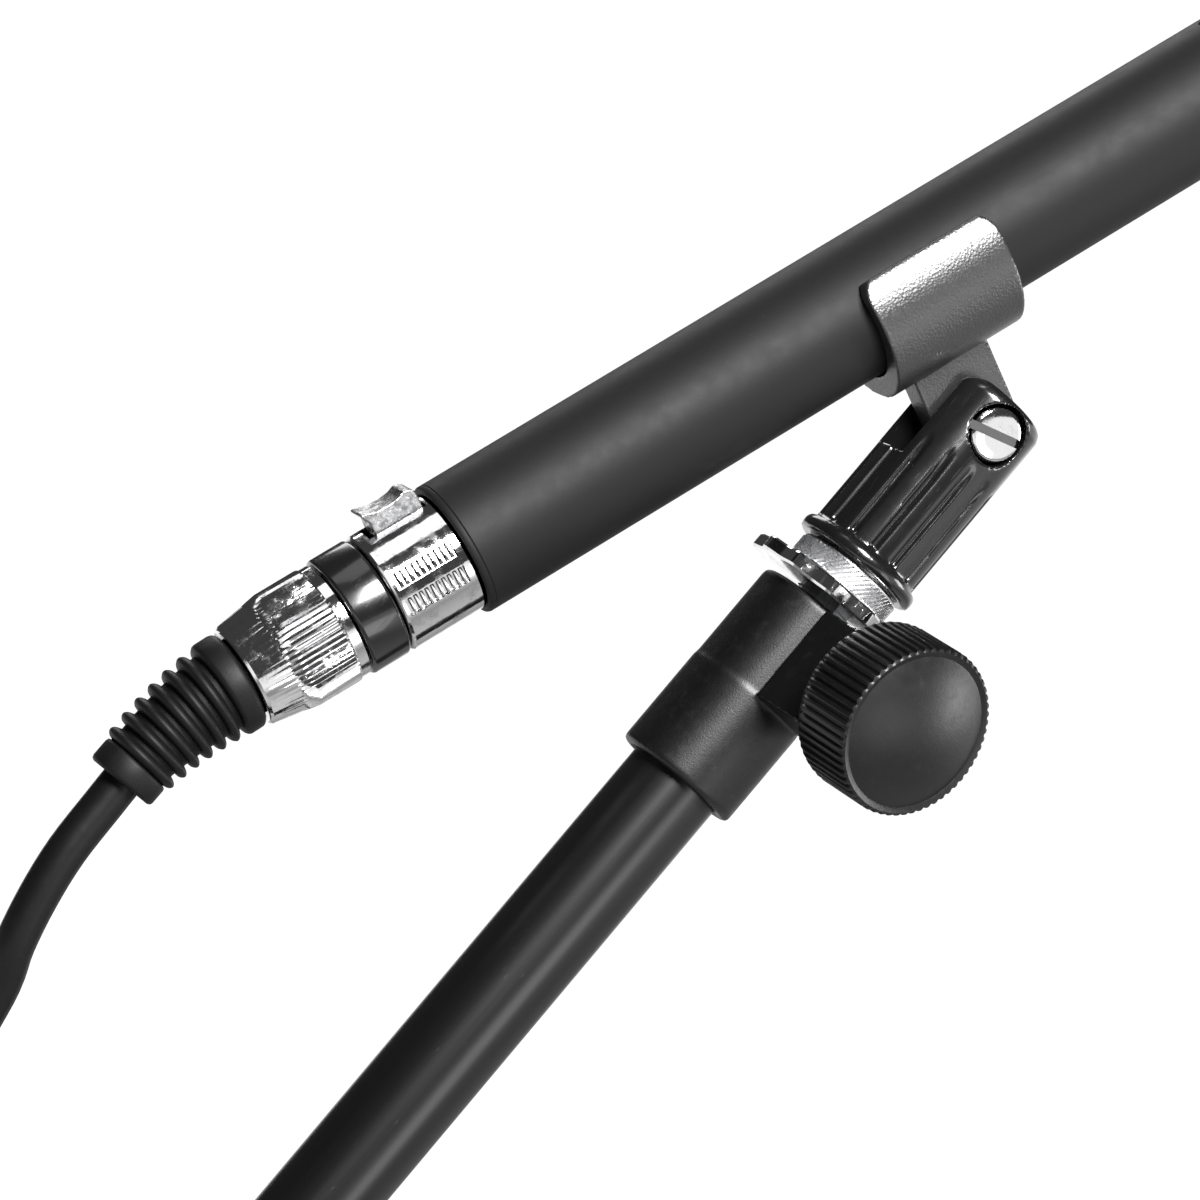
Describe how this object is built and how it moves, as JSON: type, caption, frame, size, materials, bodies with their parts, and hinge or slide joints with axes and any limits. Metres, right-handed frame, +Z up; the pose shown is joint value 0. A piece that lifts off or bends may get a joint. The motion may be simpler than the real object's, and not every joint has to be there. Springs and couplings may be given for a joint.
{
  "type": "boom pole",
  "caption": "Telescoping boom pole with foam grip, clamp-on tilting and swivelling clip, slim slotted microphone, cable plug with latch and a tied cable coil.",
  "frame": {"origin": "on the pole's axis, in the middle of the foam grip", "axes": "+X to the right and +Z up, with the pole rising to the right at 45.7 degrees in the XZ plane; +Y away from the side that the clamp knob and the pivot screw's head face, along the clip's tilt axis"},
  "size_m": [0.524, 0.0875, 0.5177],
  "materials": {
    "tube": "black satin lacquer on a drawn tube",
    "soft_coat": "matte black soft-touch coating with a fine speckle",
    "foam": "closed-cell foam",
    "rubber": "moulded rubber",
    "black_plastic": "matte moulded black plastic",
    "gloss_plastic": "smooth dark plastic with a sheen",
    "grey_plastic": "grained dark grey plastic with a satin sheen",
    "chrome": "bright plated metal",
    "steel": "plain steel",
    "brass": "plain brass",
    "white_plastic": "natural acetal",
    "board": "green laminate",
    "mesh_cloth": "fine dark mesh",
    "strap": "black hook-and-loop strap",
    "cord_jacket": "matte black cable jacket"
  },
  "bodies": {
    "pole_base": {"outer_tube": "tube", "foam_grip": "foam", "butt_cap": "rubber", "collar_gland": "black_plastic", "split_collet": "white_plastic"},
    "lock_collar": {"twist_collar": "black_plastic"},
    "head": {"inner_tube": "tube", "slide_bush": "white_plastic", "clamp_sleeve": "black_plastic", "thread_stud": "steel", "boss_insert": "brass"},
    "knob": {"clamp_knob": "black_plastic", "knob_stud": "steel"},
    "shoe": {"pressure_shoe": "brass"},
    "jam_nut": {"lock_nut": "chrome"},
    "swivel": {"swivel_base": "gloss_plastic", "threaded_insert": "chrome", "pivot_nut": "steel", "friction_washer_1": "white_plastic", "friction_washer_2": "white_plastic"},
    "screw": {"pivot_screw": "chrome"},
    "clip": {"mic_clip": "grey_plastic"},
    "microphone": {"mic_body": "soft_coat", "nose_cap": "tube", "slot_liner": "mesh_cloth", "capsule": "brass", "circuit_board": "board", "mic_socket": "black_plastic", "mic_pin_1": "brass", "mic_pin_2": "brass", "mic_pin_3": "brass"},
    "plug": {"plug_shell": "chrome", "plug_insert": "black_plastic", "plug_socket_1": "brass", "plug_socket_2": "brass", "plug_socket_3": "brass", "latch_spring": "steel", "plug_ring": "gloss_plastic", "cable_chuck": "white_plastic", "cable_end": "cord_jacket", "cable_boot": "rubber", "cord_lead": "cord_jacket", "cord_coil": "cord_jacket", "cord_tie": "strap", "cord_tail": "cord_jacket", "end_boot": "rubber", "end_shell": "chrome", "end_insert": "black_plastic", "end_pin_1": "brass", "end_pin_2": "brass", "end_pin_3": "brass"},
    "latch": {"latch_tab": "chrome"},
    "back_nut": {"plug_nut": "chrome"}
  },
  "joints": [
    {"name": "telescope", "type": "slide", "parent": "pole_base", "child": "head", "axis": [0.6984, 0, 0.7157], "range_m": [0, 0.15]},
    {"name": "collar_turn", "type": "hinge", "parent": "pole_base", "child": "lock_collar", "pos_m": [0.1746, 0, 0.17892], "axis": [0.6984, 0, 0.7157], "range_deg": [0, 120]},
    {"name": "knob_turn", "type": "hinge", "parent": "head", "child": "knob", "pos_m": [0.28432, 0, 0.29136], "axis": [0.1537, -0.9767, -0.15], "range_deg": [0, 360]},
    {"name": "shoe_slide", "type": "slide", "parent": "head", "child": "shoe", "axis": [0.1537, -0.9767, -0.15], "range_m": [0, 0.00085]},
    {"name": "jam_nut_turn", "type": "hinge", "parent": "head", "child": "jam_nut", "pos_m": [0.29124, 0, 0.29844], "axis": [0.6984, 0, 0.7157], "continuous": true},
    {"name": "swivel_turn", "type": "hinge", "parent": "head", "child": "swivel", "pos_m": [0.30032, 0, 0.30775], "axis": [0.6984, 0, 0.7157], "range_deg": [-170, 40]},
    {"name": "pivot_screw_turn", "type": "hinge", "parent": "swivel", "child": "screw", "pos_m": [0.31687, 0, 0.32471], "axis": [0, -1, 0], "range_deg": [0, 360]},
    {"name": "clip_tilt", "type": "hinge", "parent": "swivel", "child": "clip", "pos_m": [0.31687, 0, 0.32471], "axis": [0, 1, 0], "range_deg": [-5, 120]},
    {"name": "mic_slide", "type": "slide", "parent": "clip", "child": "microphone", "axis": [0.9003, 0, 0.4352], "range_m": [-0.02, 0.02]},
    {"name": "plug_pull", "type": "slide", "parent": "microphone", "child": "plug", "axis": [-0.9003, 0, -0.4352], "range_m": [0, 0.014]},
    {"name": "latch_press", "type": "hinge", "parent": "plug", "child": "latch", "pos_m": [0.21518, 0, 0.31609], "axis": [0, 1, 0], "range_deg": [0, 4], "stiffness_Nm_per_rad": 0.3, "springref_deg": -1.15, "deforming": ["latch_spring"]},
    {"name": "back_nut_turn", "type": "hinge", "parent": "plug", "child": "back_nut", "pos_m": [0.20109, 0, 0.29929], "axis": [-0.9003, 0, -0.4352], "continuous": true}
  ],
  "couplings": [
    {"joint": "shoe_slide", "follows": "knob_turn", "m_per_rad": 0.00012732}
  ]
}
